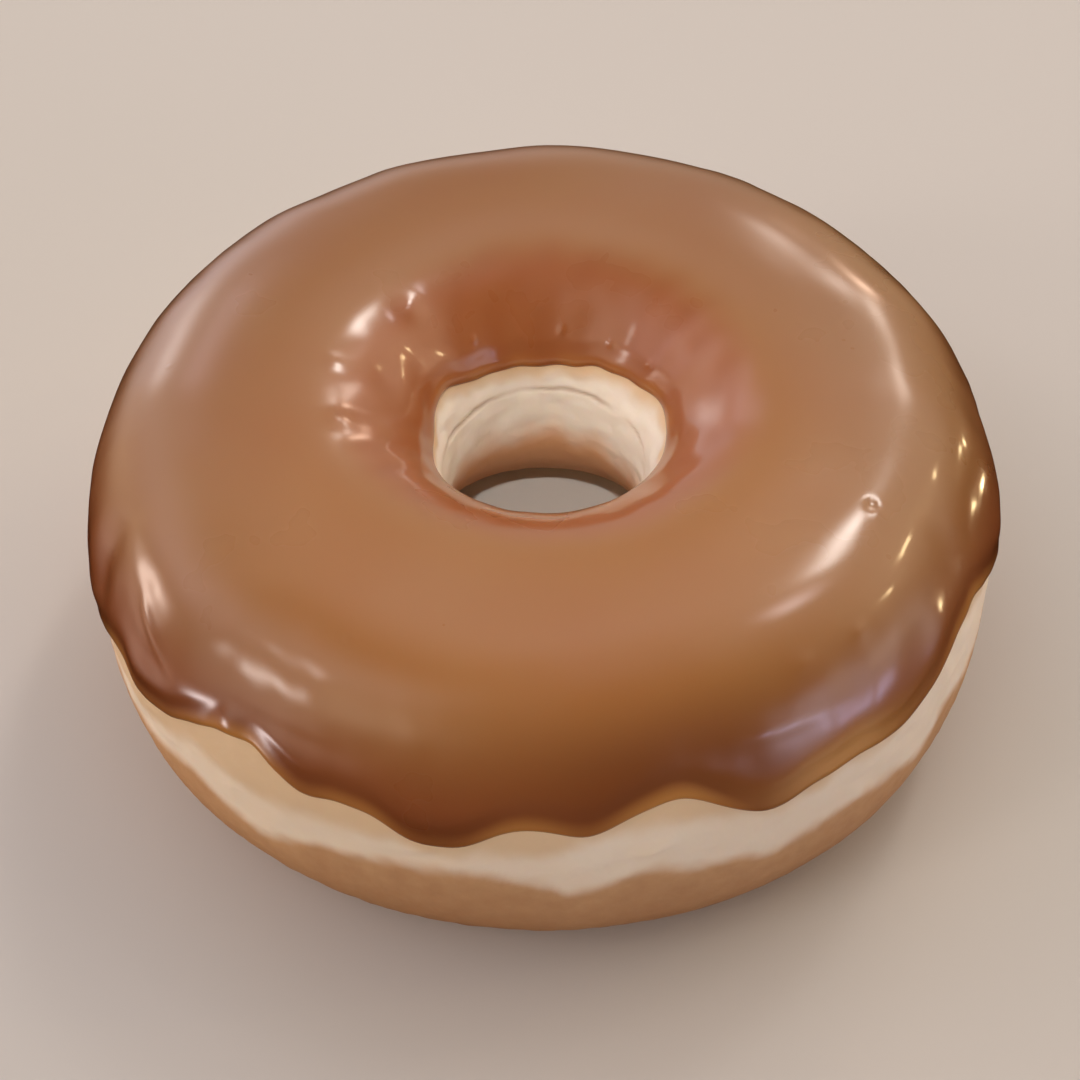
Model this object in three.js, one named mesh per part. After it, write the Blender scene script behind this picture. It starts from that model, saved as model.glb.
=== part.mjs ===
// A ring doughnut: one fried ring of yeast dough, with a coat of caramel icing on its upper half.
// Millimetres, +Z up. The origin is on the surface the doughnut stands on, under the middle of its hole.
// +X is to the right and -Y is the front, where the icing's edge rises and falls the most.
import * as THREE from "three";
import { mergeGeometries, mergeVertices } from "three/addons/utils/BufferGeometryUtils.js";

// The dough ring's section. Each side is widest at its own waist height.
const OUTER_RADIUS = 45.6;
const CREST_RADIUS = 29.2;
const HOLE_RADIUS = 10.15;
const DOUGH_HEIGHT = 32.8;
const OUTER_WAIST = 13.3;
const INNER_WAIST = 16.5;
const FLATTENING = 0.7; // how far the round underside is pressed flat by the dough's own weight

// How square each quarter of the section is: 2 is an ellipse, and more is boxier.
const SQUARENESS = { topOuter: 2.75, topInner: 2.4, bottomInner: 1.85, bottomOuter: 2.7 };

// The icing's thickness, square to the dough. It ran off the steep sides, so it is thinner towards its edges.
const TOP_THICKNESS = 1.2;
const OUTER_EDGE_THICKNESS = 0.6;
const INNER_EDGE_THICKNESS = 0.85;
const THICKENING_DISTANCE = 15; // how far from its edge the icing is as thick as on top
const EDGE_BEAD = 0.25; // how much thicker the icing is where it gathered above its outer edge
const BEAD_DISTANCE = 2.8;
const BEAD_WIDTH = 1.9;

// Where the icing stops: [degrees round the ring from +X, height of the edge]. Each entry is a crest or a
// dip of the edge, and the edge runs smoothly from one to the next.
const OUTER_EDGE = [
  [3, 23.6], [14, 20.6], [27, 24.0], [40, 21.1], [53, 23.1], [61, 22.2], [75, 24.6], [88, 20.4],
  [101, 23.4], [113, 22.0], [126, 24.3], [139, 20.0], [151, 21.8], [170, 16.4], [182, 17.4], [197, 15.8],
  [212, 20.4], [216, 19.4], [235, 24.5], [242, 21.9], [249, 22.5], [257, 20.1], [268, 23.1], [274, 22.4],
  [284, 25.0], [295, 21.3], [307, 22.2], [312, 21.5], [332, 24.6], [347, 20.2],
];
const INNER_EDGE = [
  [12, 26.6], [48, 25.7], [66, 25.9], [88, 25.2], [106, 25.4], [126, 25.1], [150, 25.9], [182, 24.6],
  [215, 25.6], [240, 25.0], [268, 25.8], [300, 25.0], [335, 26.2],
];

// The ring isn't quite round or level: [waves round the ring, share of the size, degrees of the first crest]
const ROUNDNESS = [[2, 0.0015, 30], [3, 0.003, 82], [4, 0.005, 43]];
const LEVELNESS = [[2, 0.004, 70], [3, 0.004, 190], [5, 0.003, 20]];

// How finely the faces are cut
const COLUMNS = 96;
const COVERED_ROWS = 12;
const HOLE_WALL_ROWS = 5;
const SIDE_ROWS = 6;
const NOSE_ROWS = 3;

// The closed outline of the dough's section, anticlockwise from its outer waist, as points (radius, height).
class DoughSection extends THREE.Curve {
  constructor() {
    super();
    this.arcLengthDivisions = 2400;
  }

  getPoint(t, target = new THREE.Vector2()) {
    const turn = 2 * Math.PI * t;
    const outward = Math.cos(turn);
    const upward = Math.sin(turn);
    const outer = outward >= 0;
    const top = upward >= 0;
    const squareness = top
      ? (outer ? SQUARENESS.topOuter : SQUARENESS.topInner)
      : (outer ? SQUARENESS.bottomOuter : SQUARENESS.bottomInner);
    const waist = outer ? OUTER_WAIST : INNER_WAIST;
    const halfWidth = outer ? OUTER_RADIUS - CREST_RADIUS : CREST_RADIUS - HOLE_RADIUS;
    const halfHeight = top ? DOUGH_HEIGHT - waist : waist + FLATTENING;
    const across = Math.sign(outward) * Math.abs(outward) ** (2 / squareness);
    const along = Math.sign(upward) * Math.abs(upward) ** (2 / squareness);
    return target.set(CREST_RADIUS + halfWidth * across, Math.max(0, waist + halfHeight * along));
  }
}

const section = new DoughSection();
const sectionLength = section.getLength();

// The section's point and outward direction at a share of its length. It repeats past 0 and 1.
function onSection(share) {
  const wrapped = THREE.MathUtils.euclideanModulo(share, 1);
  const tangent = section.getTangentAt(wrapped);
  return { point: section.getPointAt(wrapped), outward: new THREE.Vector2(tangent.y, -tangent.x) };
}

// The share of the section's length at which its side, between two shares, reaches a height.
function shareAtHeight(height, low, high) {
  const rising = section.getPointAt(high).y > section.getPointAt(low).y;
  for (let halving = 0; halving < 40; halving++) {
    const middle = (low + high) / 2;
    if (section.getPointAt(middle).y < height === rising) low = middle;
    else high = middle;
  }
  return (low + high) / 2;
}

// Where the pressed-flat ring under the dough begins and ends: a height this small counts as on the surface
const TOUCHING = 0.001;
const flatInside = shareAtHeight(TOUCHING, 0.55, 0.74);
const flatOutside = shareAtHeight(TOUCHING, 0.76, 0.95);

// A closed edge's height at an angle in degrees, eased from each crest or dip to the next.
function edgeHeight(edge, degrees) {
  const next = edge.findIndex(([angle]) => angle > degrees);
  const after = edge[next < 0 ? 0 : next];
  const before = edge.at(next < 0 ? -1 : next - 1);
  const span = THREE.MathUtils.euclideanModulo(after[0] - before[0], 360);
  const done = THREE.MathUtils.euclideanModulo(degrees - before[0], 360) / span;
  return THREE.MathUtils.lerp(before[1], after[1], THREE.MathUtils.smoothstep(done, 0, 1));
}

// The sum of some waves round the ring.
function waves(list, angle) {
  return list.reduce(
    (sum, [count, share, crest]) => sum + share * Math.cos(count * (angle - THREE.MathUtils.degToRad(crest))),
    0,
  );
}

// The icing's thickness at a distance along the dough from its outer edge, and from its edge in the hole.
function icingThickness(fromOuterEdge, fromInnerEdge) {
  const outerShare = THREE.MathUtils.smoothstep(fromOuterEdge, 1, THICKENING_DISTANCE);
  const innerShare = THREE.MathUtils.smoothstep(fromInnerEdge, 1, THICKENING_DISTANCE);
  const onOuterSide = THREE.MathUtils.lerp(OUTER_EDGE_THICKNESS, TOP_THICKNESS, outerShare);
  const onInnerSide = THREE.MathUtils.lerp(INNER_EDGE_THICKNESS, TOP_THICKNESS, innerShare);
  const bead = EDGE_BEAD * Math.exp(-(((fromOuterEdge - BEAD_DISTANCE) / BEAD_WIDTH) ** 2));
  return Math.min(onOuterSide, onInnerSide) + bead;
}

// The rounded nose of the icing's edge, as [distance along the dough, height off it]. It starts where the
// icing meets the dough, hangs over a little, and ends level with the coat.
function noseOutline(thickness) {
  const nose = new THREE.CubicBezierCurve(
    new THREE.Vector2(0, 0),
    new THREE.Vector2(-0.3 * thickness, 0.35 * thickness),
    new THREE.Vector2(-0.15 * thickness, thickness),
    new THREE.Vector2(1.3 * thickness, thickness),
  );
  return nose.getPoints(NOSE_ROWS);
}

// Points of the section from one share of its length to another, evenly spaced along it.
function pointsBetween(from, to, rows) {
  const shares = Array.from({ length: rows + 1 }, (_, row) => THREE.MathUtils.lerp(from, to, row / rows));
  return shares.map((share) => onSection(share).point);
}

// Puts a point of the section at its place round the ring, with the ring's own unevenness.
function place(point, angle) {
  const radius = point.x * (1 + waves(ROUNDNESS, angle));
  const height = point.y * (1 + waves(LEVELNESS, angle) * (point.y / DOUGH_HEIGHT));
  return new THREE.Vector3(radius * Math.cos(angle), radius * Math.sin(angle), height);
}

// One slice of the doughnut at an angle: the dough under the icing, the bare dough, and the icing's outside.
function slice(angle) {
  const degrees = THREE.MathUtils.radToDeg(angle);
  const outerEdge = shareAtHeight(edgeHeight(OUTER_EDGE, degrees), 0, 0.2);
  const innerEdge = shareAtHeight(edgeHeight(INNER_EDGE, degrees), 0.4, 0.55);
  const coveredLength = (innerEdge - outerEdge) * sectionLength;

  const covered = pointsBetween(outerEdge, innerEdge, COVERED_ROWS);
  const holeWall = pointsBetween(innerEdge, flatInside, HOLE_WALL_ROWS);
  const side = pointsBetween(flatOutside, outerEdge + 1, SIDE_ROWS);

  const outerNose = noseOutline(icingThickness(0, coveredLength));
  const innerNose = noseOutline(icingThickness(coveredLength, 0));
  const start = outerNose.at(-1).x;
  const end = coveredLength - innerNose.at(-1).x;
  const outline = [...outerNose];
  for (let row = 1; row < COVERED_ROWS; row++) {
    const distance = THREE.MathUtils.lerp(start, end, row / COVERED_ROWS);
    outline.push(new THREE.Vector2(distance, icingThickness(distance, coveredLength - distance)));
  }
  outline.push(...innerNose.reverse().map((p) => new THREE.Vector2(coveredLength - p.x, p.y)));
  const coat = outline.map(({ x: distance, y: height }) => {
    const { point, outward } = onSection(outerEdge + distance / sectionLength);
    return point.addScaledVector(outward, height);
  });
  coat[0] = covered[0];
  coat[coat.length - 1] = covered.at(-1);

  const placed = (points) => points.map((point) => place(point, angle));
  return { covered: placed(covered), bare: placed([...holeWall, ...side]), coat: placed(coat) };
}

// A band of faces right round the ring, through the same kind of row of points in each slice.
// The faces look out where the rows run anticlockwise in the section. Turned over, they look the other way.
function band(slices, kind, turnedOver = false) {
  const rows = slices[0][kind].length;
  const index = [];
  for (let column = 0; column < slices.length; column++) {
    const here = column * rows;
    const there = ((column + 1) % slices.length) * rows;
    for (let row = 0; row < rows - 1; row++) {
      const [a, b, c, d] = [here + row, there + row, there + row + 1, here + row + 1];
      index.push(...(turnedOver ? [a, c, b, a, d, c] : [a, b, c, a, c, d]));
    }
  }
  return new THREE.BufferGeometry().setFromPoints(slices.flatMap((s) => s[kind])).setIndex(index);
}

// One closed solid from bands that share their end rows.
function solid(name, bands, material) {
  const geometry = mergeVertices(mergeGeometries(bands));
  geometry.computeVertexNormals();
  const mesh = new THREE.Mesh(geometry, material);
  mesh.name = name;
  return mesh;
}

const slices = Array.from({ length: COLUMNS }, (_, column) => slice((2 * Math.PI * column) / COLUMNS));

const doughMaterial = new THREE.MeshStandardMaterial({ color: 0xcf9f6c, roughness: 0.75, metalness: 0 });
const icingMaterial = new THREE.MeshStandardMaterial({ color: 0x9a5c33, roughness: 0.2, metalness: 0 });

// The icing lies on the dough: its underside is the same band of faces as the dough's covered part.
const doughnut = new THREE.Group();
doughnut.add(
  solid("dough_ring", [band(slices, "covered"), band(slices, "bare")], doughMaterial),
  solid("icing", [band(slices, "coat"), band(slices, "covered", true)], icingMaterial),
);

export default doughnut;
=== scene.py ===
import math

import bpy
import numpy as np
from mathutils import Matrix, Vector


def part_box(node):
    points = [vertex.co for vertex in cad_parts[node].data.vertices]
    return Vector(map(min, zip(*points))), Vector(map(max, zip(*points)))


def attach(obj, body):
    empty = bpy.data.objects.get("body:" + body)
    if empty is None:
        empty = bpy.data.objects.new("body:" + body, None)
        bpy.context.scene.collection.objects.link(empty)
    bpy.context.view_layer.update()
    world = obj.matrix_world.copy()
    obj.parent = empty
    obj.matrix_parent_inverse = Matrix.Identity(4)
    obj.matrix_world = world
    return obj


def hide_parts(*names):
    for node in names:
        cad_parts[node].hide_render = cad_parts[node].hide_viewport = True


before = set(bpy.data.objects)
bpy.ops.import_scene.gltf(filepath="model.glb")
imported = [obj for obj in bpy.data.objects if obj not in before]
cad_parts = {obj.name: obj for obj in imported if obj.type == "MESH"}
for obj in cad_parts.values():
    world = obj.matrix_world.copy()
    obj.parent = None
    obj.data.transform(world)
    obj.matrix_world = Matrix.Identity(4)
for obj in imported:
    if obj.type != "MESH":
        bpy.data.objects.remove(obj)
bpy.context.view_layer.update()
mm = 0.001

doughLow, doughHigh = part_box("dough_ring")
icingLow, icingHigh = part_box("icing")
outsideRadius = (icingHigh.x - icingLow.x) / 2


def waves(parts, angle):
    return sum(share * np.cos(count * (angle - math.radians(crest))) for count, share, crest in parts)


# The ring under the icing. Lengths without mm are shares of its radius or its height.
ring = {
    "roundness": [(2, 0.0015, 30), (3, 0.003, 82), (4, 0.005, 43)],  # waves round, share, first crest
    "levelness": [(2, 0.004, 70), (3, 0.004, 190), (5, 0.003, 20)],
    "height": doughHigh.z * 0.994,  # its even height: the highest crest is 0.6 % above it
    "crest": 0.6404,
    "hole": 0.2226,
    "outerWaist": 0.4055,
    "innerWaist": 0.503,
    "flattened": 0.7 * mm,
    "squareness": {"topOuter": 2.75, "topInner": 2.4, "bottomInner": 1.85, "bottomOuter": 2.7},
    "swell": {"push": 0.06 * mm, "size": 19 * mm},  # the dough's soft lumps
    "turnSteps": 16001,  # points the section is traced with
    "evenSteps": 6001,  # points it is kept as, evenly spaced
    "columns": 540,
}
acrossShare = 2 + waves(ring["roundness"], 0) + waves(ring["roundness"], math.pi)
ring["radius"] = (doughHigh.x - doughLow.x) / acrossShare

# Crests and dips of the lines that run round the ring: (degrees from +X, height in mm)
icingOuterLine = [
    (3, 23.6), (14, 20.6), (27, 24.0), (40, 21.1), (53, 23.1), (61, 22.2), (75, 24.6), (88, 20.4),
    (101, 23.4), (113, 22.0), (126, 24.3), (139, 20.0), (151, 21.8), (170, 16.4), (182, 17.4), (197, 15.8),
    (212, 20.4), (216, 19.4), (235, 24.5), (242, 21.9), (249, 22.5), (257, 20.1), (268, 23.1), (274, 22.4),
    (284, 25.0), (295, 21.3), (307, 22.2), (312, 21.5), (332, 24.6), (347, 20.2),
]
icingInnerLine = [
    (12, 26.4), (40, 25.6), (58, 25.2), (76, 24.6), (92, 24.4), (108, 24.6), (124, 24.7), (150, 25.7),
    (182, 24.6), (215, 25.6), (240, 25.0), (268, 25.8), (300, 25.0), (335, 26.2),
]
topCrustAndShadeLine = [  # above it, the dough is fried golden. From 253 to 268 degrees, at the front, the line is set lower, painting the shade under the icing's edge
    (8, 21.6), (30, 22.8), (52, 21.0), (78, 22.4), (96, 20.6), (121, 22.3), (143, 19.4), (165, 18.0),
    (196, 16.6), (215, 16.2), (229, 19.4), (236, 18.3), (253, 19.8), (257, 18.9), (263, 19.8), (268, 19.6),
    (280, 22.5), (299, 20.8), (306, 21.5), (312, 21.0), (326, 24.0), (345, 22.0),
]
undersideCrustLine = [  # below it, the dough is fried brown
    (10, 14.2), (28, 15.8), (45, 14.6), (62, 16.2), (80, 14.4), (97, 15.9), (115, 14.9), (130, 16.3),
    (150, 14.0), (168, 15.0), (190, 12.8), (202, 13.8), (212, 12.6), (223, 14.4), (235, 13.0), (246, 15.8),
    (263, 16.8), (270, 16.3), (273, 14.4), (282, 16.8), (297, 14.6), (304, 15.6), (314, 14.9), (320, 12.6),
    (325, 15.9), (340, 14.8), (355, 16.2),
]
holeCrustLine = [
    (15, 17.4), (40, 16.4), (58, 17.8), (72, 16.6), (84, 18.2), (97, 17.6), (112, 16.6), (135, 17.2),
    (160, 16.0), (210, 17.2), (260, 16.2), (310, 17.4),
]


def lineHeight(line, degrees):
    # eased from each crest or dip to the next, and round from the last to the first
    line = [(line[-1][0] - 360, line[-1][1]), *line, (line[0][0] + 360, line[0][1])]
    angles, heights = np.array(line, float).T
    after = np.clip(np.searchsorted(angles, degrees, side="right"), 1, len(angles) - 1)
    done = (degrees - angles[after - 1]) / (angles[after] - angles[after - 1])
    done = done * done * (3 - 2 * done)
    return (heights[after - 1] * (1 - done) + heights[after] * done) * mm


def smooth(value, low, high):
    share = np.clip((value - low) / (high - low), 0, 1)
    return share * share * (3 - 2 * share)


def hill(value, centre, width):
    return np.exp(-(((value - centre) / width) ** 2))


def unevenness(points, size, seed, parts=16):
    # smooth random swell over the surface, about 1 high and `size` from crest to crest
    chance = np.random.default_rng(seed)
    total = np.zeros(points.shape[:-1])
    for _ in range(parts):
        direction = chance.normal(size=3)
        direction *= 2 * math.pi / size * chance.uniform(0.65, 1.35) / np.linalg.norm(direction)
        total += np.cos(points @ direction + chance.uniform(0, 2 * math.pi))
    return total * math.sqrt(2 / parts)


def makeSection():
    # the outline of a cut through the ring, anticlockwise from its outer waist, in even steps
    turn = np.linspace(0, 2 * math.pi, ring["turnSteps"])
    outward = np.cos(turn)
    upward = np.sin(turn)
    outer = outward >= 0
    top = upward >= 0
    square = ring["squareness"]
    topPower = np.where(outer, square["topOuter"], square["topInner"])
    bottomPower = np.where(outer, square["bottomOuter"], square["bottomInner"])
    power = np.where(top, topPower, bottomPower)
    crest = ring["crest"] * ring["radius"]
    waist = np.where(outer, ring["outerWaist"], ring["innerWaist"]) * ring["height"]
    halfWidth = np.where(outer, ring["radius"] - crest, crest - ring["hole"] * ring["radius"])
    halfHeight = np.where(top, ring["height"] - waist, waist + ring["flattened"])
    radius = crest + halfWidth * np.sign(outward) * np.abs(outward) ** (2 / power)
    height = np.maximum(0, waist + halfHeight * np.sign(upward) * np.abs(upward) ** (2 / power))
    length = np.concatenate([[0], np.cumsum(np.hypot(np.diff(radius), np.diff(height)))])
    even = np.linspace(0, length[-1], ring["evenSteps"])
    radius = np.interp(even, length, radius)
    height = np.interp(even, length, height)
    tangentR = np.gradient(np.concatenate([radius[-4:-1], radius, radius[1:4]]))[3:-3]
    tangentZ = np.gradient(np.concatenate([height[-4:-1], height, height[1:4]]))[3:-3]
    size = np.hypot(tangentR, tangentZ)
    return {"at": even, "radius": radius, "height": height, "length": even[-1],
            "outR": tangentZ / size, "outZ": -tangentR / size}


section = makeSection()


def lengthAtHeight(height, side):
    # how far along the section its outer side or its hole's wall reaches a height
    top = section["at"][np.argmax(section["height"])]
    if side == "outside":
        onSide = (section["at"] < top) & (section["at"] < section["length"] / 2)
        return np.interp(height, section["height"][onSide], section["at"][onSide])
    underneath = section["length"] * 0.72  # near the lowest point of the section
    onSide = (section["at"] > top) & (section["at"] < underneath)
    return np.interp(height, section["height"][onSide][::-1], section["at"][onSide][::-1])


def onRing(along, angle):
    # points of the bare ring and their outward directions, from lengths along the section and angles round
    wrapped = np.mod(along, section["length"])
    angle = np.broadcast_to(angle, wrapped.shape)
    radius, height, outR, outZ = (
        np.interp(wrapped, section["at"], section[key]) for key in ("radius", "height", "outR", "outZ")
    )
    radius = radius * (1 + waves(ring["roundness"], angle))
    height = height * (1 + waves(ring["levelness"], angle) * height / ring["height"])
    points = np.stack([radius * np.cos(angle), radius * np.sin(angle), height], -1)
    outward = np.stack([outR * np.cos(angle), outR * np.sin(angle), outZ], -1)
    return points, outward


def doughSwell(points):
    # the dough's own soft lumps, which the icing follows. The base stays flat.
    swell = ring["swell"]
    lift = smooth(points[..., 2], 1 * mm, 8 * mm)
    return swell["push"] * unevenness(points, swell["size"], 3) * lift


def marksPush(marks, points, outward):
    # small lumps and dents at chosen places:
    # (degrees, radius, height, half width round the ring, half height, push, lean in degrees), lengths in mm
    radius = np.hypot(points[..., 0], points[..., 1])
    angle = np.arctan2(points[..., 1], points[..., 0])
    outR = np.hypot(outward[..., 0], outward[..., 1]) * np.sign(outward[..., 0] * points[..., 0]
                                                               + outward[..., 1] * points[..., 1])
    outZ = outward[..., 2]
    total = np.zeros(radius.shape)
    for degrees, markRadius, markHeight, halfWidth, halfHeight, push, lean in marks:
        turned = np.mod(angle - math.radians(degrees) + math.pi, 2 * math.pi) - math.pi
        around = turned * radius / mm
        offR = radius / mm - markRadius
        offZ = points[..., 2] / mm - markHeight
        upward = offZ * outR - offR * outZ
        deep = offR * outR + offZ * outZ
        leanCos = math.cos(math.radians(lean))
        leanSin = math.sin(math.radians(lean))
        across = (around * leanCos + upward * leanSin) / halfWidth
        along = (upward * leanCos - around * leanSin) / halfHeight
        nearSurface = hill(deep, 0, 4)  # keeps a mark off the ring's other side
        total += push * np.exp(-across ** 2 - along ** 2) * nearSurface
    return total * mm


angles = np.linspace(0, 2 * math.pi, ring["columns"], endpoint=False)
angleColumn = angles[:, None]
degreesRound = np.degrees(angles)
columnPoints = np.stack([np.cos(angles), np.sin(angles), np.zeros_like(angles)], -1) * outsideRadius
outerLine = lineHeight(icingOuterLine, degreesRound)
outerLine += 0.10 * mm * unevenness(columnPoints, 5 * mm, 11)
innerLine = lineHeight(icingInnerLine, degreesRound)
innerLine += 0.05 * mm * unevenness(columnPoints * 0.25, 4 * mm, 12)
outerAt = lengthAtHeight(outerLine, "outside")
innerAt = lengthAtHeight(innerLine, "hole")


def makePiece(name, rows, values):
    # rows of points, columns x rows x 3, joined round the ring and round the section
    columns, count = rows.shape[:2]
    mesh = bpy.data.meshes.new(name)
    here = np.arange(columns * count).reshape(columns, count)
    there = np.roll(here, -1, 0)
    quads = np.stack([here, there, np.roll(there, -1, 1), np.roll(here, -1, 1)], -1).reshape(-1, 4)
    mesh.vertices.add(columns * count)
    mesh.vertices.foreach_set("co", rows.astype(np.float32).ravel())
    mesh.loops.add(quads.size)
    mesh.loops.foreach_set("vertex_index", quads.astype(np.int32).ravel())
    mesh.polygons.add(len(quads))
    mesh.polygons.foreach_set("loop_start", np.arange(0, quads.size, 4, dtype=np.int32))
    mesh.polygons.foreach_set("loop_total", np.full(len(quads), 4, dtype=np.int32))
    for key, value in values.items():
        layer = mesh.attributes.new(key, "FLOAT", "POINT")
        layer.data.foreach_set("value", np.ascontiguousarray(value, dtype=np.float32).ravel())
    mesh.update(calc_edges=True)
    mesh.validate()
    mesh.shade_smooth()
    piece = bpy.data.objects.new(name, mesh)
    bpy.context.scene.collection.objects.link(piece)
    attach(piece, "root")
    return piece


def rowsBetween(low, high, shares):
    return low[:, None] + (high - low)[:, None] * shares


dough = {
    "holeRows": [(0.0, 0.36, 50), (0.36, 1.0, 34)],  # (from, to, rows): finest near the icing
    "baseRows": 9,
    "sideRows": 76,
    "coveredRows": 8,
    "tucked": 1.0 * mm,  # how far the fine rows go on under the icing
    # the fold round the hole's back wall: it fades out between two distances, in degrees, from its middle
    "crease": {"height": 21.3 * mm, "sway": 0.55 * mm, "depth": 0.22 * mm, "width": 0.22 * mm,
               "middle": 95, "fade": (62, 105)},
    "fray": [(0.22 * mm, 4.5 * mm, 21), (0.07 * mm, 1.6 * mm, 22)],  # crust lines' wander: push, size, seed
    # how far from its line each crust's colour starts and ends its fade
    "fades": {
        "underside": (-1.2 * mm, 0.9 * mm),
        "top": (-1.4 * mm, 1.4 * mm),
        "topGolden": (-1.5 * mm, -1.0 * mm),
        "holeLow": (-4.0 * mm, 1.6 * mm),
        "holeTop": (-0.6 * mm, 1.4 * mm),
        "holeGolden": (-2.0 * mm, -1.0 * mm),
    },
    "browningDepth": 13 * mm,  # how far below its line the crust is at its brownest
    "crustStep": 0.16 * mm,
    "wrinkles": 0.05 * mm,
    # blisters and dimples of the pale band, as for marksPush
    "marks": [
        (-78.5, 44.9, 19.6, 1.1, 0.50, 0.50, 24),
        (-76.6, 44.9, 20.2, 0.6, 0.50, 0.30, 0),
        (-70, 44.9, 18.6, 1.8, 0.8, 0.12, 10),
        (-98, 44.9, 18.4, 2.4, 0.7, 0.10, -8),
        (-35, 44.9, 19.5, 1.6, 1.0, 0.12, 20),
        (-52, 44.9, 18.0, 2.4, 0.7, -0.12, 5),
        (-118, 44.9, 17.8, 2.0, 0.7, 0.10, 0),
        (35, 44.9, 18.5, 1.6, 0.7, 0.20, -20),
        (122, 44.9, 18.5, 1.8, 0.6, 0.18, 14),
        (170, 44.9, 15.5, 1.4, 0.7, 0.14, 0),
    ],
}


def fadeAbove(height, line, fade):
    # 0 below a line and 1 above it
    return smooth(height, line + fade[0], line + fade[1])


def creaseGroove(points, fray):
    # how deep in the hole wall's fold each point is, 0 to 1
    crease = dough["crease"]
    line = crease["height"] + crease["sway"] * np.sin(1.5 * (angleColumn - math.radians(20))) + 0.5 * fray
    aside = np.abs(np.mod(angleColumn - math.radians(crease["middle"]) + math.pi, 2 * math.pi) - math.pi)
    here = 1 - smooth(aside, *np.radians(crease["fade"]))
    here = here * (0.65 + 0.35 * unevenness(points, 7 * mm, 24))
    return hill(points[..., 2], line, crease["width"]) * np.clip(here, 0, 1)


def makeDough():
    flat = section["height"] <= 1e-9
    flatStart = np.full_like(innerAt, section["at"][flat][0])
    flatEnd = np.full_like(innerAt, section["at"][flat][-1])
    bareEnd = outerAt + section["length"] + dough["tucked"]
    bareStart = innerAt - dough["tucked"]
    holeShares = np.concatenate([np.linspace(a, b, n, endpoint=False) for a, b, n in dough["holeRows"]])
    baseShares = np.linspace(0, 1, dough["baseRows"], endpoint=False)
    sideShares = np.linspace(0, 1, dough["sideRows"], endpoint=False)
    coveredShares = np.linspace(0, 1, dough["coveredRows"], endpoint=False)
    along = np.concatenate([
        rowsBetween(bareStart, flatStart, holeShares),
        rowsBetween(flatStart, flatEnd, baseShares),
        rowsBetween(flatEnd, bareEnd, sideShares),
        rowsBetween(bareEnd, bareStart + section["length"], coveredShares),
    ], axis=1)
    points, outward = onRing(along, angleColumn)
    height = points[..., 2]
    radius = np.hypot(points[..., 0], points[..., 1])
    inside = radius < ring["crest"] * ring["radius"]
    bare = np.ones(along.shape, bool)
    bare[:, -dough["coveredRows"]:] = False

    fades = dough["fades"]
    fray = sum(push * unevenness(points, size, seed) for push, size, seed in dough["fray"])
    # the front of this line is set lower: painted shade under the icing's edge
    topLine = lineHeight(topCrustAndShadeLine, degreesRound)[:, None] + fray
    lowLine = lineHeight(undersideCrustLine, degreesRound)[:, None] + fray
    holeLow = lineHeight(holeCrustLine, degreesRound)[:, None] + fray
    holeTop = innerLine[:, None] - 1.5 * mm + fray
    paleOutside = fadeAbove(height, lowLine, fades["underside"])
    paleOutside *= 1 - fadeAbove(height, topLine, fades["top"])
    paleInside = fadeAbove(height, holeLow, fades["holeLow"])
    paleInside *= 1 - fadeAbove(height, holeTop, fades["holeTop"])
    pale = np.where(inside, paleInside, paleOutside)
    below = np.where(inside, holeLow - height, lowLine - height)
    browning = np.clip(below / dough["browningDepth"], 0, 1)
    golden = np.where(inside, fadeAbove(height, holeTop, fades["holeGolden"]),
                      fadeAbove(height, topLine, fades["topGolden"]))
    groove = np.where(inside, creaseGroove(points, fray), 0)

    crust = dough["crustStep"] * (1 - pale) * smooth(height, 1 * mm, 6 * mm)
    longWrinkles = dough["wrinkles"] * unevenness(points * [1, 1, 2.2], 4.2 * mm, 31) * pale
    fineWrinkles = 0.4 * dough["wrinkles"] * unevenness(points, 1.9 * mm, 32) * smooth(height, 0, 3 * mm)
    push = doughSwell(points) + np.where(bare, crust + longWrinkles + fineWrinkles, 0)
    push -= dough["crease"]["depth"] * groove
    push += marksPush(dough["marks"], points, outward)
    points = points + outward * push[..., None]
    points[..., 2] = np.maximum(points[..., 2], 0)
    values = {"pale": pale, "browning": browning, "golden": golden, "crease": groove, "inHole": inside}
    return makePiece("doughRing", points, values)


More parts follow.
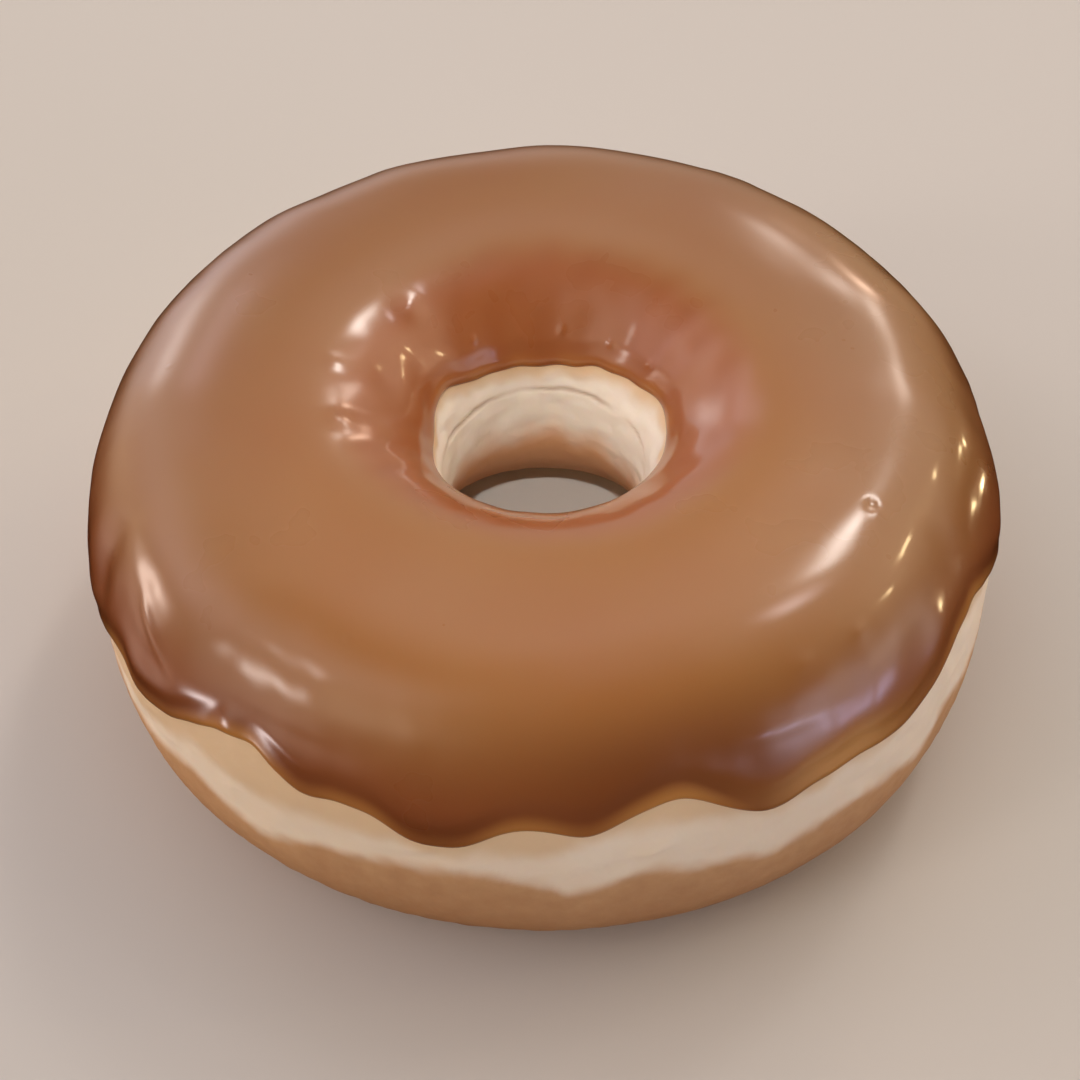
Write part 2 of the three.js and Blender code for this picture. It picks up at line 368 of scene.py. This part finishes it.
icing = {
    "thickness": 1.2 * mm,
    "atOuterEdge": 0.6 * mm,
    "atHoleEdge": 0.85 * mm,
    "thickening": 15 * mm,  # how far from its edges the coat is as thick as on top
    "bead": {"push": 0.26 * mm, "at": 3.0 * mm, "width": 2.2 * mm},  # the roll gathered above the outer edge
    "fold": {"push": 0.05 * mm, "height": 28.4 * mm, "width": 1.25 * mm},  # the shallow fold above that roll
    "lip": {"push": 0.14 * mm, "at": 1.9 * mm, "width": 1.3 * mm},  # the roll above its edge in the hole
    "lobes": {"waves": 9, "drop": 1.6 * mm},  # waves in the line they hang from, the fullest one's drop
    # fine unevenness: (where, push, size from crest to crest, seed, share of the height counted)
    "ripples": [
        ("flank", 0.040 * mm, 8.5 * mm, 43, 0.55),
        ("flank", 0.012 * mm, 3.4 * mm, 46, 0.45),
        ("funnel", 0.045 * mm, 4.6 * mm, 44, 0.35),
        ("all", 0.012 * mm, 9 * mm, 45, 1),
    ],
    "noseReach": 1.4,  # how far back the rounded edge reaches, in thicknesses
    "nearEdge": 1.4 * mm,  # where the rounded edge's thickness is taken
    "sunk": 0.18 * mm,  # how far the underside lies in the dough, so that no gap shows
    "frontShade": {"degrees": -76, "halfWidth": 17},  # the front side, where the coat's colour is made darker: painted shade
    "thinRun": {"degrees": -54, "halfWidth": 11, "reach": 5.5 * mm},  # where its edge is thin and amber
    "noseRows": 9,
    "coatRows": [(0.0, 0.30, 62), (0.30, 0.66, 36), (0.66, 1.0, 50)],
    "undersideRows": 9,
    # lumps and dents of the coat, as for marksPush
    "marks": [
        (180, 45.6, 22.0, 15.0, 9.0, -0.40, 0),
        (-157, 45.2, 26.0, 1.7, 5.0, -0.42, 0),
        (-163, 45.2, 25.0, 1.6, 4.5, 0.16, 0),
        (-150, 42.5, 29.5, 3.0, 3.0, 0.16, 0),
        (-143, 44.6, 28.4, 3.4, 0.8, 0.24, -28),
        (-141, 45.3, 25.2, 3.0, 1.3, -0.16, -10),
        (-128, 44.8, 25.2, 1.5, 1.2, 0.50, 10),
        (-121, 44.2, 28.0, 5.0, 0.8, -0.12, 0),
        (-116, 42.8, 30.2, 5.0, 2.0, 0.10, 0),
        (-64, 43.5, 29.4, 7.0, 0.9, 0.08, -3),
        (-30, 33.8, 32.2, 0.55, 0.45, -0.16, 0),
        (-31, 34.6, 32.0, 0.8, 0.5, 0.05, 30),
        (139, 18.7, 30.4, 1.8, 1.4, 0.34, 0),
        (-165, 20.5, 31.2, 1.6, 1.5, 0.20, 0),
        (123, 14.2, 27.6, 0.4, 0.4, 0.14, 0),
        (82, 14.0, 27.4, 0.4, 0.4, 0.14, 0),
        (58, 13.8, 27.2, 0.35, 0.35, 0.13, 0),
        (35, 14.0, 27.4, 0.4, 0.4, 0.14, 0),
        (-48, 40.2, 31.5, 0.9, 0.8, 0.10, 30),
        (-57, 39.8, 31.7, 1.1, 0.7, 0.10, 20),
        (172, 21.4, 31.4, 1.2, 1.4, 0.10, 0),
        (20, 45.0, 26.5, 2.5, 3.0, -0.16, 0),
        (64, 44.8, 27.0, 3.0, 2.0, 0.15, 10),
        (96, 45.0, 26.0, 2.0, 3.5, -0.16, 0),
        (132, 44.6, 27.0, 3.0, 2.5, 0.16, -10),
    ],
}


covered = (innerAt - outerAt)[:, None]


def lobeShare():
    # 1 where the edge ran low and holds more icing, 0 on the stretches between
    lobes = icing["lobes"]
    waveCount = np.fft.fftfreq(len(angles)) * len(angles)
    softened = np.real(np.fft.ifft(np.fft.fft(outerLine) * np.exp(-(waveCount / lobes["waves"]) ** 2)))
    return np.clip((softened - outerLine) / lobes["drop"], -1, 1)[:, None] * 0.5 + 0.5


lobe = lobeShare()


def coatThickness(distance):
    # the coat's thickness at distances along the section from its outer edge
    bead, fold, lip = icing["bead"], icing["fold"], icing["lip"]
    points, outward = onRing(outerAt[:, None] + distance, angleColumn)
    radius = np.hypot(points[..., 0], points[..., 1])
    flank = smooth(radius, 36 * mm, 42 * mm)
    funnel = 1 - smooth(radius, 16 * mm, 23 * mm)
    fromHole = covered - distance
    around = 0.5 * unevenness(points, 16 * mm, 41)
    outerSide = smooth(distance, 1 * mm, icing["thickening"])
    holeSide = smooth(fromHole, 1 * mm, icing["thickening"])
    value = np.minimum(icing["atOuterEdge"] + (icing["thickness"] - icing["atOuterEdge"]) * outerSide,
                       icing["atHoleEdge"] + (icing["thickness"] - icing["atHoleEdge"]) * holeSide)
    value += bead["push"] * (0.5 + 0.65 * lobe + 0.25 * around) * hill(distance, bead["at"], bead["width"])
    foldHill = hill(points[..., 2], fold["height"] + 0.5 * mm * around, fold["width"]) * flank
    value -= fold["push"] * (0.8 + 0.5 * around) * foldHill
    sideways = np.abs(points[..., 0]) / np.maximum(radius, mm)  # less at the back and front of the hole
    places = {"flank": flank, "funnel": funnel * (0.25 + 0.75 * sideways), "all": 1}
    for place, push, size, seed, tall in icing["ripples"]:
        value += push * unevenness(points * [1, 1, tall], size, seed) * places[place]
    value += lip["push"] * hill(fromHole, lip["at"], lip["width"])
    value += marksPush(icing["marks"], points, outward)
    edge = smooth(distance, 0, 4 * mm) * smooth(fromHole, 0, 3 * mm)
    return value * (0.80 + 0.20 * edge)


def roundRun(run):
    # 1 at the run's own angle, fading to 0 on both sides of it
    away = np.mod(angleColumn - math.radians(run["degrees"]) + math.pi, 2 * math.pi) - math.pi
    return hill(away, 0, math.radians(run["halfWidth"]))


def nose(tall):
    # the rounded edge, from under the coat out over the dough and up to the coat's outside
    t = np.linspace(0, 1, icing["noseRows"] + 1)[:-1]
    first = 3 * (1 - t) ** 2 * t
    second = 3 * (1 - t) * t * t
    tall = tall[:, None]
    distance = (-0.30 * first - 0.10 * second + icing["noseReach"] * t ** 3) * tall
    lift = (0.30 * first + second + t ** 3) * tall
    return distance, lift - icing["sunk"] * (1 - t) ** 3


def makeIcing():
    outerTall = coatThickness(np.full((len(angles), 1), icing["nearEdge"]))[:, 0]
    holeTall = coatThickness(covered - icing["nearEdge"])[:, 0]
    outerDistance, outerLift = nose(outerTall)
    holeDistance, holeLift = nose(holeTall)
    start = icing["noseReach"] * outerTall
    finish = covered[:, 0] - icing["noseReach"] * holeTall
    shares = [np.linspace(a, b, n, endpoint=False) for a, b, n in icing["coatRows"]]
    coat = rowsBetween(start, finish, np.concatenate([*shares, [1.0]]))
    coatLift = coatThickness(coat)
    fromStart = smooth(coat, start[:, None], start[:, None] + 2.5 * mm)
    toFinish = smooth(coat, finish[:, None] - 2.0 * mm, finish[:, None])
    coatLift = outerTall[:, None] * (1 - fromStart) + coatLift * fromStart
    coatLift = coatLift * (1 - toFinish) + holeTall[:, None] * toFinish

    under = np.linspace(1, 0, icing["undersideRows"] + 2)[1:-1]
    backFromHole = covered - holeDistance[:, ::-1]
    distance = np.concatenate([outerDistance, coat, backFromHole, covered * under], axis=1)
    underLift = np.full((len(angles), len(under)), -icing["sunk"])
    lift = np.concatenate([outerLift, coatLift, holeLift[:, ::-1], underLift], axis=1)
    points, outward = onRing(outerAt[:, None] + distance, angleColumn)
    radius = np.hypot(points[..., 0], points[..., 1])

    # where its colour changes: thin and amber, gathered and dark (with painted shade added on the front
    # side), streaked, painted shade on the steep slopes, and down in the hole
    thinOutside = 1 - smooth(distance, 0.3 * mm, 2.2 * mm)
    thinInHole = 0.4 - 0.4 * smooth(covered - distance, 0.2 * mm, 1.9 * mm)
    thin = np.maximum(thinOutside, thinInHole) * (1 - 0.8 * lobe)
    thinRun = icing["thinRun"]
    thin = np.maximum(thin, roundRun(thinRun) * (1 - smooth(distance, 1.5 * mm, thinRun["reach"])))
    gathered = (1 - smooth(distance, 1.2 * mm, 5.5 * mm)) * (0.35 + 0.65 * lobe) * (1 - thin)
    # painted shade: a darker band round the front side, added into the gathered mask
    frontShade = roundRun(icing["frontShade"]) * smooth(radius, 37 * mm, 43 * mm)
    gathered = np.maximum(gathered, frontShade * (1 - thin))
    runs = unevenness(points * [1, 1, 0.35], 4.6 * mm, 44) * (1 - smooth(radius, 16 * mm, 24 * mm))
    # painted shade: the coat is darkened where it slopes steeply away from the top
    slopeShade = 1 - smooth(outward[..., 2], 0.25, 0.9)
    inFunnel = 1 - smooth(radius, 18 * mm, 22.5 * mm)
    slopeShade = slopeShade * (1 - inFunnel)
    points = points + outward * (doughSwell(points) + lift)[..., None]
    values = {"thin": thin, "gathered": gathered, "runs": 0.5 + 0.35 * runs, "slopeShade": slopeShade,
              "inFunnel": inFunnel}
    return makePiece("icingCoat", points, values)


doughPiece = makeDough()
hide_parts("dough_ring")
print("dough made:", len(doughPiece.data.polygons), "faces")
icingPiece = makeIcing()
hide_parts("icing")
print("icing made:", len(icingPiece.data.polygons), "faces")


def hexColour(code):
    def linear(value):
        return value / 12.92 if value <= 0.04045 else ((value + 0.055) / 1.055) ** 2.4
    red, green, blue = (int(code[i:i + 2], 16) / 255 for i in (0, 2, 4))
    return (linear(red), linear(green), linear(blue), 1)


def addNode(tree, kind, **settings):
    node = tree.nodes.new(kind)
    for key, value in settings.items():
        setattr(node, key, value)
    return node


def setInputs(node, **values):
    for key, value in values.items():
        node.inputs[key].default_value = value


def newGroup(name, inputs, outputs):
    group = bpy.data.node_groups.new(name, "ShaderNodeTree")
    for label, kind, value in inputs:
        socket = group.interface.new_socket(name=label, in_out="INPUT", socket_type=kind)
        socket.default_value = value
    for label, kind in outputs:
        group.interface.new_socket(name=label, in_out="OUTPUT", socket_type=kind)
    return group, addNode(group, "NodeGroupInput"), addNode(group, "NodeGroupOutput")


def makeSoftPatches():
    # cloudy patches, 0 to 1, for slow changes of colour and gloss
    group, start, end = newGroup(
        "softPatches",
        [("Scale", "NodeSocketFloat", 40.0), ("Detail", "NodeSocketFloat", 3.0),
         ("Contrast", "NodeSocketFloat", 2.5), ("Shift", "NodeSocketVector", (0, 0, 0))],
        [("Mask", "NodeSocketFloat")],
    )
    link = group.links.new
    place = addNode(group, "ShaderNodeTexCoord")
    shifted = addNode(group, "ShaderNodeVectorMath", operation="ADD")
    clouds = addNode(group, "ShaderNodeTexNoise")
    centred = addNode(group, "ShaderNodeMath", operation="SUBTRACT")
    centred.inputs[1].default_value = 0.5
    spread = addNode(group, "ShaderNodeMath", operation="MULTIPLY_ADD", use_clamp=True)
    spread.inputs[2].default_value = 0.5
    link(place.outputs["Object"], shifted.inputs[0])
    link(start.outputs["Shift"], shifted.inputs[1])
    link(shifted.outputs["Vector"], clouds.inputs["Vector"])
    link(start.outputs["Scale"], clouds.inputs["Scale"])
    link(start.outputs["Detail"], clouds.inputs["Detail"])
    link(clouds.outputs["Fac"], centred.inputs[0])
    link(centred.outputs["Value"], spread.inputs[0])
    link(start.outputs["Contrast"], spread.inputs[1])
    link(spread.outputs["Value"], end.inputs["Mask"])
    return group


def makeTinyBubbles():
    # scattered round bubbles or pores: their height, 0 to 1
    group, start, end = newGroup(
        "tinyBubbles",
        [("Scale", "NodeSocketFloat", 400.0), ("Share", "NodeSocketFloat", 0.1),
         ("Size", "NodeSocketFloat", 0.3), ("Shift", "NodeSocketVector", (0, 0, 0))],
        [("Height", "NodeSocketFloat")],
    )
    link = group.links.new
    place = addNode(group, "ShaderNodeTexCoord")
    shifted = addNode(group, "ShaderNodeVectorMath", operation="ADD")
    cells = addNode(group, "ShaderNodeTexVoronoi")
    split = addNode(group, "ShaderNodeSeparateColor")
    chosen = addNode(group, "ShaderNodeMath", operation="LESS_THAN")
    dome = addNode(group, "ShaderNodeMapRange", interpolation_type="SMOOTHERSTEP")
    dome.inputs["To Min"].default_value = 1.0
    dome.inputs["To Max"].default_value = 0.0
    height = addNode(group, "ShaderNodeMath", operation="MULTIPLY")
    link(place.outputs["Object"], shifted.inputs[0])
    link(start.outputs["Shift"], shifted.inputs[1])
    link(shifted.outputs["Vector"], cells.inputs["Vector"])
    link(start.outputs["Scale"], cells.inputs["Scale"])
    link(cells.outputs["Color"], split.inputs["Color"])
    link(split.outputs["Red"], chosen.inputs[0])
    link(start.outputs["Share"], chosen.inputs[1])
    link(cells.outputs["Distance"], dome.inputs["Value"])
    link(start.outputs["Size"], dome.inputs["From Max"])
    link(dome.outputs["Result"], height.inputs[0])
    link(chosen.outputs["Value"], height.inputs[1])
    link(height.outputs["Value"], end.inputs["Height"])
    return group


softPatches = makeSoftPatches()
tinyBubbles = makeTinyBubbles()
print("shared effects made")


class Surface:
    # one material: its nodes, and short ways to mix masks and colours into its Principled BSDF
    def __init__(self, name):
        self.material = bpy.data.materials.new(name)
        self.material.use_nodes = True
        self.tree = self.material.node_tree
        self.shader = self.tree.nodes["Principled BSDF"]

    def link(self, source, target):
        self.tree.links.new(source, target)

    def attribute(self, name):
        return addNode(self.tree, "ShaderNodeAttribute", attribute_name=name).outputs["Fac"]

    def effect(self, group, output, **values):
        node = addNode(self.tree, "ShaderNodeGroup", node_tree=group)
        setInputs(node, **values)
        return node.outputs[output]

    def math(self, operation, first, second, clamp=False):
        node = addNode(self.tree, "ShaderNodeMath", operation=operation, use_clamp=clamp)
        for socket, value in zip(node.inputs, (first, second)):
            if isinstance(value, (int, float)):
                socket.default_value = value
            else:
                self.link(value, socket)
        return node.outputs["Value"]

    def mix(self, mask, first, second):
        node = addNode(self.tree, "ShaderNodeMix", data_type="RGBA")
        for key, value in (("A", first), ("B", second)):
            if isinstance(value, str):
                node.inputs[key].default_value = hexColour(value)
            else:
                self.link(value, node.inputs[key])
        self.link(mask, node.inputs["Factor"])
        return node.outputs["Result"]

    def tint(self, mask, strength, first, second):
        return self.mix(self.math("MULTIPLY", mask, strength), first, second)

    def between(self, mask, low, high):
        node = addNode(self.tree, "ShaderNodeMapRange")
        setInputs(node, **{"To Min": low, "To Max": high})
        self.link(mask, node.inputs["Value"])
        return node.outputs["Result"]

    def bump(self, height, distance, strength):
        node = addNode(self.tree, "ShaderNodeBump")
        setInputs(node, Strength=strength, Distance=distance)
        self.link(height, node.inputs["Height"])
        self.link(node.outputs["Normal"], self.shader.inputs["Normal"])


icingLook = {
    "caramel": "a07242",
    "deepCaramel": "965c31",
    # painted shade colour for the coat's steep slopes
    "slopeShadeCaramel": "8e4c27",
    "funnelCaramel": "9a5a34",
    "thinEdge": "c48a46",
    "runs": "8e4c26",
    # dark caramel for icing gathered at the edge, and painted shade on the front side
    "gathered": "6e3a1a",
    "roughness": (0.24, 0.34),
    "coat": 0.75,
    "coatRoughness": 0.09,
}


def makeIcingMaterial():
    surface = Surface("caramelIcing")
    wide = surface.effect(softPatches, "Mask", Scale=42.0, Detail=2.0, Contrast=2.0)
    close = surface.effect(softPatches, "Mask", Scale=210.0, Detail=2.0, Contrast=1.0, Shift=(0.3, 0.1, 0.2))
    runs = surface.math("SUBTRACT", 1.0, surface.attribute("runs"), clamp=True)
    colour = surface.tint(wide, 0.5, icingLook["caramel"], icingLook["deepCaramel"])
    colour = surface.tint(close, 0.08, colour, icingLook["deepCaramel"])
    # painted shade on the coat's steep slopes
    colour = surface.tint(surface.attribute("slopeShade"), 0.9, colour, icingLook["slopeShadeCaramel"])
    colour = surface.tint(surface.attribute("inFunnel"), 0.9, colour, icingLook["funnelCaramel"])
    colour = surface.tint(runs, 0.25, colour, icingLook["runs"])
    # darker where the icing is gathered at its edge, and painted shade on the front side
    colour = surface.tint(surface.attribute("gathered"), 0.7, colour, icingLook["gathered"])
    colour = surface.tint(surface.attribute("thin"), 0.8, colour, icingLook["thinEdge"])
    surface.link(colour, surface.shader.inputs["Base Color"])
    gloss = surface.math("ADD", surface.math("MULTIPLY", wide, 0.5), surface.math("MULTIPLY", close, 0.5))
    surface.link(surface.between(gloss, *icingLook["roughness"]), surface.shader.inputs["Roughness"])
    bubbles = surface.effect(tinyBubbles, "Height", Scale=300.0, Share=0.022, Size=0.20)
    swell = surface.effect(softPatches, "Mask", Scale=900.0, Detail=2.0, Contrast=1.0, Shift=(0.7, 0.2, 0.5))
    height = surface.math("ADD", bubbles, surface.math("MULTIPLY", swell, 0.12))
    surface.bump(height, 0.08 * mm, 0.6)
    setInputs(surface.shader, **{
        "IOR": 1.36,
        "Coat Weight": icingLook["coat"],
        "Coat Roughness": icingLook["coatRoughness"],
        "Subsurface Weight": 0.12,
        "Subsurface Radius": (1.0, 0.42, 0.18),
        "Subsurface Scale": 1.6 * mm,
    })
    return surface.material


doughLook = {
    "cream": "fbecd8",
    "creamWarm": "f6dcbc",
    # painted light: the dough in the hole gets a lighter cream and a lighter brown than outside
    "holeCreamPaintedLight": "fcf3e6",
    "golden": "e8caa4",
    "brown": "d6a87a",
    "deepBrown": "b27d52",
    "holeBrownPaintedLight": "e6b285",
    # painted shade: darker colour along the fold of the hole's wall
    "crease": "9a7a58",
    "roughness": (0.48, 0.66),
}


def makeDoughMaterial():
    surface = Surface("friedDough")
    wide = surface.effect(softPatches, "Mask", Scale=75.0, Detail=3.0, Contrast=2.6, Shift=(0.1, 0.6, 0.3))
    close = surface.effect(softPatches, "Mask", Scale=420.0, Detail=4.0, Contrast=2.4, Shift=(0.5, 0.2, 0.9))
    cream = surface.tint(wide, 0.55, doughLook["cream"], doughLook["creamWarm"])
    # painted light: lighter cream and brown for the dough in the hole
    cream = surface.mix(surface.attribute("inHole"), cream, doughLook["holeCreamPaintedLight"])
    brown = surface.mix(surface.attribute("browning"), doughLook["brown"], doughLook["deepBrown"])
    brown = surface.tint(close, 0.35, brown, doughLook["deepBrown"])
    brown = surface.mix(surface.attribute("inHole"), brown, doughLook["holeBrownPaintedLight"])
    crust = surface.mix(surface.attribute("golden"), brown, doughLook["golden"])
    colour = surface.mix(surface.attribute("pale"), crust, cream)
    # painted shade in the fold of the hole's back wall; the groove itself is modelled
    colour = surface.tint(surface.attribute("crease"), 0.6, colour, doughLook["crease"])
    surface.link(colour, surface.shader.inputs["Base Color"])
    surface.link(surface.between(close, *doughLook["roughness"]), surface.shader.inputs["Roughness"])
    pores = surface.effect(tinyBubbles, "Height", Scale=700.0, Share=0.22, Size=0.45, Shift=(0.2, 0.1, 0.6))
    skin = surface.effect(softPatches, "Mask", Scale=1300.0, Detail=5.0, Contrast=1.5, Shift=(0.9, 0.3, 0.1))
    pits = surface.math("MULTIPLY", pores, 0.5)
    height = surface.math("SUBTRACT", surface.math("MULTIPLY", skin, 0.6), pits)
    surface.bump(height, 0.10 * mm, 0.5)
    setInputs(surface.shader, **{
        "IOR": 1.42,
        "Subsurface Weight": 0.15,
        "Subsurface Radius": (1.0, 0.55, 0.3),
        "Subsurface Scale": 1.5 * mm,
    })
    return surface.material


icingPiece.data.materials.append(makeIcingMaterial())
doughPiece.data.materials.append(makeDoughMaterial())
print("materials made")

view = {
    "elevation": 48.35,
    "distance": 4.03 * outsideRadius,
    "aim": Vector((-0.0094 * outsideRadius, 0, 0.2165 * outsideRadius)),
    "lens": 57.07,
}


def towards(azimuth, elevation):
    # azimuth 0 is away from the camera, 90 is to the right
    a = math.radians(azimuth)
    e = math.radians(elevation)
    return Vector((math.sin(a) * math.cos(e), math.cos(a) * math.cos(e), math.sin(e)))


camera = bpy.data.objects.new("camera", bpy.data.cameras.new("camera"))
camera.data.lens = view["lens"]
camera.data.sensor_width = 36
camera.data.clip_start = 0.01
camera.location = view["aim"] + towards(180, view["elevation"]) * view["distance"]
camera.rotation_euler = (view["aim"] - camera.location).to_track_quat("-Z", "Y").to_euler()
bpy.context.scene.collection.objects.link(camera)
bpy.context.scene.camera = camera

studio = {
    "floor": "dcdad6",
    "floorRoughness": 0.8,
    "floorReach": 2,  # metres from its middle to each side
    "backdrop": "cdc6bd",
    # soft glows of the room: (azimuth, elevation, spread in degrees, brightness, colour). Those below the
    # floor's level only show as reflections in the icing.
    "glows": {
        "backLow": (0, 8, 17, 0.5, "fff7ee"),
        "backRightLow": (30, 8, 17, 0.6, "ffe3bb"),
        "rightLow": (98, 10, 13, 1.7, "fff4ea"),
        "rightFrontLow": (126, 9, 14, 2.5, "f4f0ff"),
        "leftFrontLow": (240, 6, 15, 1.25, "fff0e4"),
        "leftBackLow": (300, 8, 17, 1.1, "ffe2c0"),
        "backLeftLow": (330, 8, 17, 1.3, "f8f6ff"),
        "back": (15, 36, 17, 0.55, "fff7ee"),
        "rightBack": (45, 36, 17, 1.25, "ffe8cc"),
        "right": (75, 36, 17, 1.6, "ffe4c4"),
        "leftFront": (222, 34, 16, 1.5, "ffecd0"),
        "left": (262, 36, 17, 0.7, "f4dfe8"),
        "leftBack": (285, 36, 17, 1.5, "f8e2e4"),
        "backLeftPane": (337, 34, 7, 1.6, "f4e6f4"),
        "backLeft": (315, 36, 17, 1.0, "fff7ee"),
        "backHigh": (0, 60, 16, 0.85, "f6f2fa"),
        "rightHigh": (60, 60, 16, 0.5, "fff7ee"),
        "leftHigh": (240, 60, 16, 1.05, "fff7ee"),
        "overhead": (60, 82, 14, 0.3, "f2f2ff"),
        "backLeftWindow": (325, 17, 6, 2.4, "fff7f2"),
        "backRightWindow": (24, 25, 3.2, 11.0, "ffd8bc"),
        "backRightPane": (27, 33, 3.5, 7.0, "ffeee0"),
        "backPane": (17, 34, 3.5, 6.0, "fff0e4"),
        "lampRight": (31, 48, 2.6, 22.0, "fff6ee"),
        "lampHighRight": (35, 52, 2.6, 14.0, "fff6ee"),
        "paneHighRight": (47, 60, 3.2, 8.0, "fff0f0"),
        "lampLeft": (-116, 24, 5, 10.0, "fff0e6"),
        "lampHighLeft": (-112, 46, 4, 5.0, "fff0e6"),
        "lampLowLeft": (-82, 6, 6.5, 10.0, "ffe6d6"),
        "violetStrip1": (104, -5, 4, 4.5, "dcd4ff"),
        "violetStrip2": (113, -1, 4, 4.0, "dcd4ff"),
        "violetStrip3": (122, 3, 4, 3.5, "dcd4ff"),
        "violetStrip4": (131, 7, 4, 3.5, "dcd4ff"),
        "violetStrip5": (140, 12, 4, 3.5, "dcd4ff"),
        "spark1": (53, 2, 0.9, 60, "ffe0a8"),
        "spark2": (56, 8, 0.9, 45, "ffe0a8"),
        "spark3": (56, 28, 0.9, 50, "ffe0a8"),
        "spark4": (59, -14, 0.9, 70, "ffe0a8"),
        "spark5": (66, 32, 0.9, 60, "ffe0a8"),
        "spark6": (81, 32, 0.9, 55, "ffe0a8"),
        "spark7": (81, 1, 0.9, 60, "ffe0a8"),
        "lampBelowLeft": (-113, -19, 6, 11.0, "fff2f0"),
        "tableRight": (118, -28, 16, 0.8, "ffe2b4"),
        "tableLeft": (-84, -16, 13, 1.2, "ffdcc8"),
    },
    # a narrow lamp aimed into the hole, at a share of the ring's height
    "holeLamp": {"azimuth": 183, "elevation": 54, "distance": 0.6, "aimHeight": 0.6, "degreesWide": 2.2,
                 "watts": 46.0, "colour": (1.0, 0.95, 0.88), "softEdge": 0.4, "radius": 0.03},
}


def makeRoom():
    world = bpy.data.worlds.new("room")
    bpy.context.scene.world = world
    world.use_nodes = True
    tree = world.node_tree
    direction = addNode(tree, "ShaderNodeTexCoord").outputs["Generated"]
    light = None
    for azimuth, elevation, spread, brightness, colour in studio["glows"].values():
        facing = addNode(tree, "ShaderNodeVectorMath", operation="DOT_PRODUCT")
        facing.inputs[1].default_value = towards(azimuth, elevation)
        aside = addNode(tree, "ShaderNodeMath", operation="SUBTRACT")
        aside.inputs[1].default_value = 1
        fade = addNode(tree, "ShaderNodeMath", operation="MULTIPLY")
        fade.inputs[1].default_value = 1 / (1 - math.cos(math.radians(spread)))
        glow = addNode(tree, "ShaderNodeMath", operation="EXPONENT")
        tinted = addNode(tree, "ShaderNodeVectorMath", operation="SCALE")
        tinted.inputs[0].default_value = Vector(hexColour(colour)[:3]) * brightness
        tree.links.new(direction, facing.inputs[0])
        tree.links.new(facing.outputs["Value"], aside.inputs[0])
        tree.links.new(aside.outputs["Value"], fade.inputs[0])
        tree.links.new(fade.outputs["Value"], glow.inputs[0])
        tree.links.new(glow.outputs["Value"], tinted.inputs["Scale"])
        if light is None:
            light = tinted.outputs["Vector"]
            continue
        both = addNode(tree, "ShaderNodeVectorMath", operation="ADD")
        tree.links.new(light, both.inputs[0])
        tree.links.new(tinted.outputs["Vector"], both.inputs[1])
        light = both.outputs["Vector"]

    # looked at directly, the room is one plain pale backdrop
    backdrop = addNode(tree, "ShaderNodeMix", data_type="RGBA")
    backdrop.inputs["B"].default_value = hexColour(studio["backdrop"])
    tree.links.new(addNode(tree, "ShaderNodeLightPath").outputs["Is Camera Ray"], backdrop.inputs["Factor"])
    tree.links.new(light, backdrop.inputs["A"])
    tree.links.new(backdrop.outputs["Result"], tree.nodes["Background"].inputs["Color"])


def makeHoleLamp():
    beam = studio["holeLamp"]
    light = bpy.data.lights.new("holeLamp", "SPOT")
    light.energy = beam["watts"]
    light.color = beam["colour"]
    light.spot_size = math.radians(beam["degreesWide"])
    light.spot_blend = beam["softEdge"]
    light.shadow_soft_size = beam["radius"]
    lamp = bpy.data.objects.new("holeLamp", light)
    target = Vector((0, 0, beam["aimHeight"] * ring["height"]))
    lamp.location = target + towards(beam["azimuth"], beam["elevation"]) * beam["distance"]
    lamp.rotation_euler = (target - lamp.location).to_track_quat("-Z", "Y").to_euler()
    lamp.visible_glossy = False  # it lights the hole without a bright dot on the icing
    bpy.context.scene.collection.objects.link(lamp)


def makeFloor():
    reach = studio["floorReach"]
    corners = [(-reach, -reach, 0), (reach, -reach, 0), (reach, reach, 0), (-reach, reach, 0)]
    mesh = bpy.data.meshes.new("floor")
    mesh.from_pydata(corners, [], [(0, 1, 2, 3)])
    surface = Surface("paleFloor")
    look = {"Base Color": hexColour(studio["floor"]), "Roughness": studio["floorRoughness"]}
    setInputs(surface.shader, **look)
    mesh.materials.append(surface.material)
    floor = bpy.data.objects.new("floor", mesh)
    floor.visible_glossy = False  # the icing's low side mirrors the room, not the pale floor
    bpy.context.scene.collection.objects.link(floor)


makeRoom()
makeHoleLamp()
makeFloor()
bpy.context.scene.view_settings.view_transform = "Standard"
print("studio made:", len(studio["glows"]), "glows")
